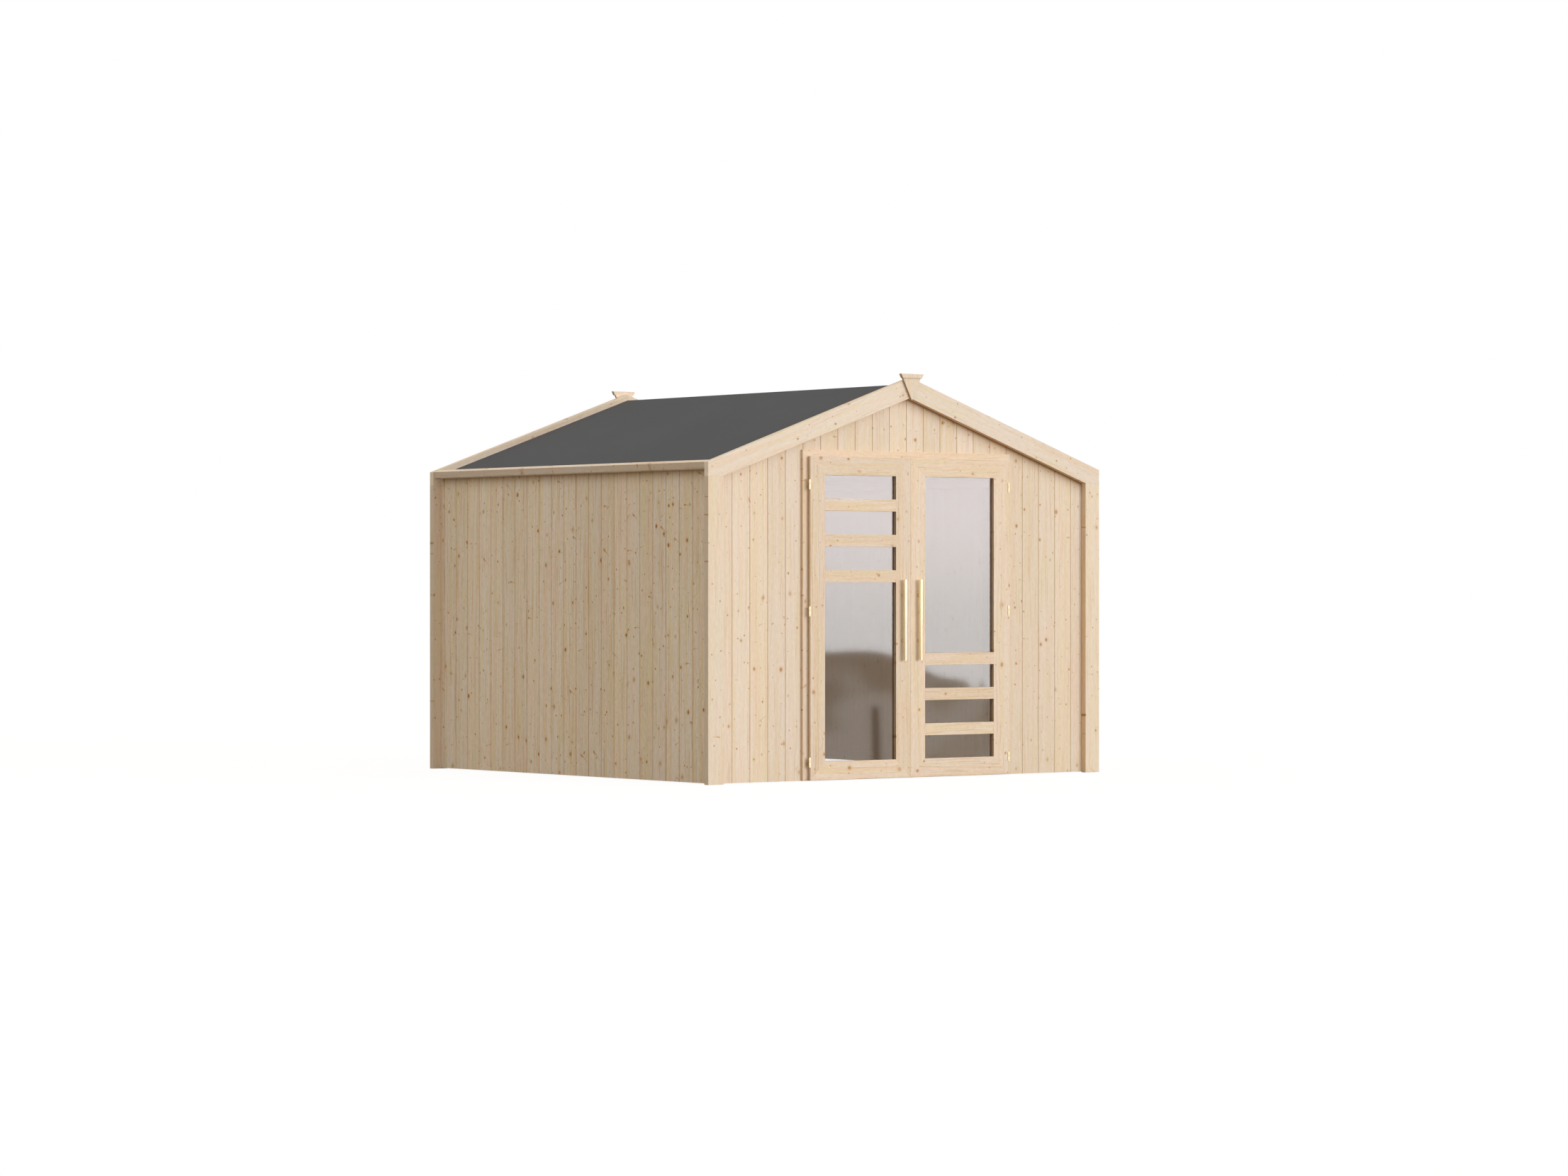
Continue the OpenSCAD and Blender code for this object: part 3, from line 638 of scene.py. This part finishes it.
back_high = Vector(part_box("back_wall")[1])
peak = Vector((0, 0, back_high.z))
roof_planes = [(peak, Vector((-math.sin(pitch), 0, math.cos(pitch)))),
               (peak, Vector((math.sin(pitch), 0, math.cos(pitch))))]

gable_seams = [BOARD_COVER * i for i in range(-GABLE_BOARDS_A_SIDE, GABLE_BOARDS_A_SIDE + 1)]
side_seams = [back_high.y - SIDE_FIRST_SEAM - SIDE_COVER * i for i in range(SIDE_BOARD_SEAMS)]

for wall in ("front_wall_left", "front_wall_right", "front_gable"):
    boarding(wall, wall + "_boards", RIGHT, -BACKWARD, gable_seams, GABLE_CHAMFER, gable_pine, roof_planes,
             "front")
boarding("back_wall", "back_wall_boards", RIGHT, BACKWARD, gable_seams, GABLE_CHAMFER, gable_pine, roof_planes,
         "back")
for side, out in (("left", -RIGHT), ("right", RIGHT)):
    wall = side + "_wall"
    boarding(wall, wall + "_boards", BACKWARD, out, side_seams, SIDE_CHAMFER, side_pine, roof_planes, side)

for wall in ("front", "back", "left", "right"):
    planed(wall + "_framing", "shed", "framing_timber", framing_pine, arris=SAWN_ARRIS)

# ---------- gable frames and roof ----------

# The way that a finial's right side looks
wedge_slope = Vector((0.89, 0, -0.45))
# Posts get painted shade on their outer and inner sides, bargeboards on their undersides, and finials on their
# sloping sides and underside
for end in ("front", "back"):
    for side, lean in (("left", 1), ("right", -1)):
        planed(f"{end}_{side}_post", "shed", "trim_boards", trim_pine, UP,
               shaded=((-lean * RIGHT, POST_SHADE), (lean * RIGHT, INNER_POST_SHADE)))
        slope = Vector((math.cos(pitch), 0, lean * math.sin(pitch)))
        planed(f"{end}_{side}_bargeboard", "shed", "trim_boards", trim_pine, slope, shaded=((-UP, SOFFIT_SHADE),))
    planed(end + "_finial", "shed", "trim_boards", trim_pine, UP,
           shaded=[(way, FINIAL_SHADE) for way in (wedge_slope, wedge_slope.reflect(RIGHT), -UP)])

# The eave boards get painted shade on their faces to the sides
for side in ("left", "right"):
    planed(side + "_eave_board", "shed", "trim_boards", trim_pine, BACKWARD,
           shaded=[(way, EAVE_SHADE) for way in SIDEWAYS])
    lean = 1 if side == "left" else -1
    slope = Vector((math.cos(pitch), 0, lean * math.sin(pitch)))
    roof_boarding(side + "_roof_deck", side + "_roof_boards", slope, ROOF_BOARD_COVER, framing_pine)
    planed(side + "_roof_felt", "shed", "roofing_felt", felt, arris=FELT_ARRIS)
planed("roof_purlins", "shed", "framing_timber", framing_pine, BACKWARD, arris=SAWN_ARRIS)

# ---------- doors ----------

# The jambs get painted shade on their sides; the leaves get it on their reveals, darkest on the rebates behind the
# panes, and on their outer edges
planed("door_jambs", "shed", "joinery", joinery_pine, UP, shaded=[(way, EDGE_SHADE) for way in SIDEWAYS])
planed("door_head", "shed", "joinery", joinery_pine, RIGHT)
planed("door_sill", "shed", "joinery", joinery_pine, RIGHT)
for side, inward in (("left", RIGHT), ("right", -RIGHT)):
    leaf = side + "_door"
    reach = inward * MEETING_REACH
    pane = [Vector(c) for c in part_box(leaf + "_glass")]
    for part, run in (("_stiles", UP), ("_rails", RIGHT), ("_bars", RIGHT)):
        planed(leaf + part, leaf, "joinery", joinery_pine, run, arris=JOINT_ARRIS,
               reach=None if part == "_bars" else reach,
               shaded=[(way, REVEAL_SHADE) for way in SIDEWAYS + (UP, -UP)], pane=pane)
    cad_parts[leaf + "_glass"].data.materials.clear()
    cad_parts[leaf + "_glass"].data.materials.append(glass)


# ---------- brass ----------

# The pull bars: from stand-off to stand-off, how far their middle is above the bar's, and their sizes
PULL_SPAN = 0.282
PULL_LIFT = 0.013
PULL_ROUNDING = 0.0018
PULL_SEGMENTS = 64
STANDOFF_RADIUS = 0.010
COLLAR_RADIUS = 0.0115
COLLAR_DEPTH = 0.0012
COLLAR_ROUNDING = 0.0004
HINGE_ROUNDING = 0.0004
BRASS_SHARP = math.radians(40)


def rod(whole, start, end, radius, rim=0, segments=40, metal=0):
    """Adds a round bar between two points with softened ends; metal is which of the piece's metals it is of."""
    way = end - start
    turn = UP.rotation_difference(way.normalized()).to_matrix().to_4x4()
    bm = bmesh.new()
    bmesh.ops.create_cone(bm, cap_ends=True, segments=segments, radius1=radius, radius2=radius, depth=way.length,
                          matrix=Matrix.Translation((start + end) / 2) @ turn)
    if rim:
        soften(bm, [e for e in bm.edges if e.calc_face_angle() > RIM_EDGE], rim, 3)
    for face in bm.faces:
        face.material_index = metal
    join_in(whole, bm)


for side in ("left", "right"):
    low, high = (Vector(c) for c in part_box(side + "_door_handle"))
    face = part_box(side + "_door_stiles")[0][1]
    radius = (high.x - low.x) / 2
    axis = Vector(((low.x + high.x) / 2, low.y + radius, 0))
    bm = bmesh.new()
    rod(bm, axis + UP * low.z, axis + UP * high.z, radius, PULL_ROUNDING, PULL_SEGMENTS)
    for spread in (-PULL_SPAN / 2, PULL_SPAN / 2):
        spot = axis + UP * ((low.z + high.z) / 2 + PULL_LIFT + spread)
        foot = Vector((spot.x, face, spot.z))
        rod(bm, foot, spot, STANDOFF_RADIUS)
        # A thin dark collar at the foot stands in for the shade where the stand-off meets the leaf
        rod(bm, foot, Vector((spot.x, face - COLLAR_DEPTH, spot.z)), COLLAR_RADIUS, COLLAR_ROUNDING, metal=1)
    for part in bm.faces:
        part.smooth = len(part.verts) == 4
    bar = piece_from(bm, side + "_pull_bar", brass, side + "_door", "brass", side + "_door_handle")
    bar.data.set_sharp_from_angle(angle=BRASS_SHARP)
    bar.data.materials.append(collar_shade)


def barrel_hinges(node, body):
    """The hinges' own shapes with rounded rims."""
    bm = bmesh.new()
    bm.from_mesh(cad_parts[node].data)
    bmesh.ops.remove_doubles(bm, verts=bm.verts, dist=FINE_WELD)
    bmesh.ops.dissolve_limit(bm, angle_limit=FLAT, verts=bm.verts, edges=bm.edges)
    rims = [e for e in bm.edges if e.is_manifold and e.calc_face_angle() > RIM_EDGE]
    soften(bm, rims, HINGE_ROUNDING)
    for face in bm.faces:
        face.smooth = True
    piece = piece_from(bm, node + "_barrels", brass, body, "brass", node)
    piece.data.set_sharp_from_angle(angle=BRASS_SHARP)


barrel_hinges("casing_hinges", "shed")
for side in ("left", "right"):
    barrel_hinges(side + "_door_hinges", side + "_door")

# ---------- floor, light and camera ----------

FLOOR_SIZE = 60
# How much of the floor's white is its own glow where it is looked at, which hides all but a trace of shadow
FLOOR_GLOW_SHARE = 0.72
FLOOR_GLOW = 1.28
SUN_WAY = Vector((0.36, -0.90, 0.12))
SUN_STRENGTH = 1.98
SUN_WIDTH = math.radians(34)
ROOM_LAMP_HEIGHT = 2.05
ROOM_LAMP_SIZE = (1.6, 2.4)
ROOM_LAMP_POWER = 3.0
# What polished surfaces mirror, placed by a direction's share to the right or upward, each from where to where
# it fades: a panel with a left and a right edge, and a sky and a room that brighten upward
PANEL_LEFT = (-0.29, -0.22)
PANEL_RIGHT = (0.73, 0.67)
SKY_CLIMB = (-0.014, 0.020)
SKY_LOW = (2.25, 2.21, 2.21, 1)
SKY_HIGH = (2.98, 2.78, 2.80, 1)
ROOM_CLIMB = (-0.30, 0.10)
ROOM_LOW = (0.62, 0.59, 0.55, 1)
ROOM_HIGH = (0.80, 0.78, 0.75, 1)
# The hill: where it starts, the two falls of its top, the softness and the ripples of its edge, and its bush
HILL_START = (0.590, 0.605)
HILL_FALL = (0.6215, 0.6365, -0.0147, -0.0209)
HILL_STEP = (0.6370, 0.6400, 0.0, -0.0040)
HILL_EDGE = (0.0004, -0.0006)
HILL_RIPPLES = 0.0008
BUSH_SPOT = 0.6404
BUSH_SHAPE = (0.0008, 0.0002, 0.0, 0.0034)
# Its slope darkens upward and lightens to the right, and has glades low down and a bare trunk in front
SLOPE_CLIMB = (-0.018, -0.036)
SLOPE_RIGHTWARD = (0.626, 0.636)
SLOPE_HIGH = (0.48, 0.37, 0.28, 1)
SLOPE_LEFT = (0.64, 0.53, 0.44, 1)
SLOPE_RIGHT = (0.73, 0.61, 0.50, 1)
GLADES_BELOW = (-0.014, -0.026)
GLADE = (0.84, 0.73, 0.65, 1)
TRUNK_SPOT = 0.6214
TRUNK_SIDES = (0.0009, 0.0005)
TRUNK_TOP = (-0.0262, -0.0276)
TRUNK = (0.10, 0.04, 0.015, 1)
CAMERA_SPOT = (-17.229, -22.876, 1.182)
CAMERA_TURN = (math.radians(90), 0, math.radians(-37.27))
CAMERA_LENS = 101.39
CAMERA_FILM = 36
CAMERA_REACH = 300


def lay_floor():
    bm = bmesh.new()
    bmesh.ops.create_grid(bm, x_segments=1, y_segments=1, size=FLOOR_SIZE)
    mesh = bpy.data.meshes.new("studio_floor")
    bm.to_mesh(mesh)
    bm.free()
    floor = bpy.data.objects.new("studio_floor", mesh)
    bpy.context.scene.collection.objects.link(floor)
    material, tree = finish("studio floor")
    path = node(tree, "ShaderNodeLightPath")
    seen = maths(tree, "MAXIMUM", path.outputs["Is Camera Ray"], path.outputs["Is Transmission Ray"])
    matt = node(tree, "ShaderNodeBsdfDiffuse", {"Color": (0.36, 0.35, 0.34, 1)}).outputs[0]
    glow = node(tree, "ShaderNodeEmission", {"Color": (1, 1, 1, 1), "Strength": FLOOR_GLOW}).outputs[0]
    shown = node(tree, "ShaderNodeMixShader", {0: maths(tree, "MULTIPLY", seen, FLOOR_GLOW_SHARE), 1: matt,
                                               2: glow}).outputs[0]
    node(tree, "ShaderNodeOutputMaterial", {0: shown})
    mesh.materials.append(material)
    floor.visible_glossy = False


def light_studio():
    world = bpy.data.worlds.new("studio")
    bpy.context.scene.world = world
    world.use_nodes = True
    tree = world.node_tree
    tree.nodes.clear()
    path = node(tree, "ShaderNodeLightPath")
    way = node(tree, "ShaderNodeTexCoord").outputs["Generated"]
    split = node(tree, "ShaderNodeSeparateXYZ", {0: way})
    across, upward = split.outputs[0], split.outputs[2]
    # What polished surfaces mirror: a bright panel in front of the doors, a pale room, and far to the right a
    # dark hill with a soft edge under a pale sky
    ahead = fade(tree, split.outputs[1], 0.1, -0.1)
    panel = maths(tree, "MULTIPLY", fade(tree, across, *PANEL_LEFT), fade(tree, across, *PANEL_RIGHT))
    panel = maths(tree, "MULTIPLY", panel, ahead)
    sky = blend(tree, fade(tree, upward, *SKY_CLIMB), SKY_LOW, SKY_HIGH)
    room = blend(tree, fade(tree, upward, *ROOM_CLIMB), ROOM_LOW, ROOM_HIGH)
    reflected = blend(tree, panel, room, sky)
    hill_top = maths(tree, "ADD", fade(tree, across, *HILL_FALL), fade(tree, across, *HILL_STEP))
    bush = maths(tree, "ABSOLUTE", maths(tree, "SUBTRACT", across, BUSH_SPOT))
    hill_top = maths(tree, "ADD", hill_top, fade(tree, bush, *BUSH_SHAPE))
    ripples = maths(tree, "MULTIPLY", noise(tree, scaled(tree, way, (160, 160, 10)), 2.0), HILL_RIPPLES)
    rise = maths(tree, "SUBTRACT", upward, maths(tree, "ADD", hill_top, ripples))
    hill = maths(tree, "MULTIPLY", fade(tree, rise, *HILL_EDGE), fade(tree, across, *HILL_START))
    hill = maths(tree, "MULTIPLY", hill, ahead)
    woods = noise(tree, scaled(tree, way, (70, 70, 75)), 1.5)
    glade = maths(tree, "MULTIPLY", fade(tree, woods, 0.42, 0.56), fade(tree, upward, *GLADES_BELOW))
    foot = blend(tree, fade(tree, across, *SLOPE_RIGHTWARD), SLOPE_LEFT, SLOPE_RIGHT)
    slope = blend(tree, fade(tree, upward, *SLOPE_CLIMB), SLOPE_HIGH, foot)
    slope = blend(tree, glade, slope, GLADE)
    trunk = maths(tree, "ABSOLUTE", maths(tree, "SUBTRACT", across, TRUNK_SPOT))
    trunk = maths(tree, "MULTIPLY", fade(tree, trunk, *TRUNK_SIDES), fade(tree, upward, *TRUNK_TOP))
    slope = blend(tree, trunk, slope, TRUNK)
    reflected = blend(tree, hill, reflected, slope)
    glossy = node(tree, "ShaderNodeBackground", {"Color": reflected, "Strength": 1.0}).outputs[0]
    white = node(tree, "ShaderNodeBackground", {"Color": (1, 1, 1, 1), "Strength": 1.0}).outputs[0]
    soft = node(tree, "ShaderNodeBackground", {"Color": (1, 0.965, 0.875, 1), "Strength": 0.85}).outputs[0]
    seen = maths(tree, "MAXIMUM", path.outputs["Is Camera Ray"], path.outputs["Is Transmission Ray"])
    lit = node(tree, "ShaderNodeMixShader", {0: path.outputs["Is Glossy Ray"], 1: soft, 2: glossy}).outputs[0]
    both = node(tree, "ShaderNodeMixShader", {0: seen, 1: lit, 2: white}).outputs[0]
    node(tree, "ShaderNodeOutputWorld", {0: both})
    lamp = bpy.data.lights.new("key lamp", "SUN")
    lamp.energy = SUN_STRENGTH
    lamp.angle = SUN_WIDTH
    lamp.color = (0.935, 0.955, 1.0)
    key = bpy.data.objects.new("key_lamp", lamp)
    bpy.context.scene.collection.objects.link(key)
    key.visible_glossy = False
    key.rotation_euler = SUN_WAY.normalized().to_track_quat("Z", "Y").to_euler()
    # A dim broad lamp under the ridge, so that the room behind the panes isn't black
    fill = bpy.data.lights.new("room lamp", "AREA")
    fill.shape = "RECTANGLE"
    fill.size, fill.size_y = ROOM_LAMP_SIZE
    fill.energy = ROOM_LAMP_POWER
    fill.color = (1.0, 0.97, 0.93)
    under = bpy.data.objects.new("room_lamp", fill)
    bpy.context.scene.collection.objects.link(under)
    under.location = (0, 0, ROOM_LAMP_HEIGHT)
    under.visible_camera = under.visible_glossy = under.visible_transmission = False


def set_camera():
    lens = bpy.data.cameras.new("camera")
    lens.lens = CAMERA_LENS
    lens.sensor_width = CAMERA_FILM
    lens.clip_end = CAMERA_REACH
    camera = bpy.data.objects.new("camera", lens)
    bpy.context.scene.collection.objects.link(camera)
    camera.location = CAMERA_SPOT
    camera.rotation_euler = CAMERA_TURN
    bpy.context.scene.camera = camera


lay_floor()
light_studio()
set_camera()
bpy.context.scene.view_settings.view_transform = "Standard"
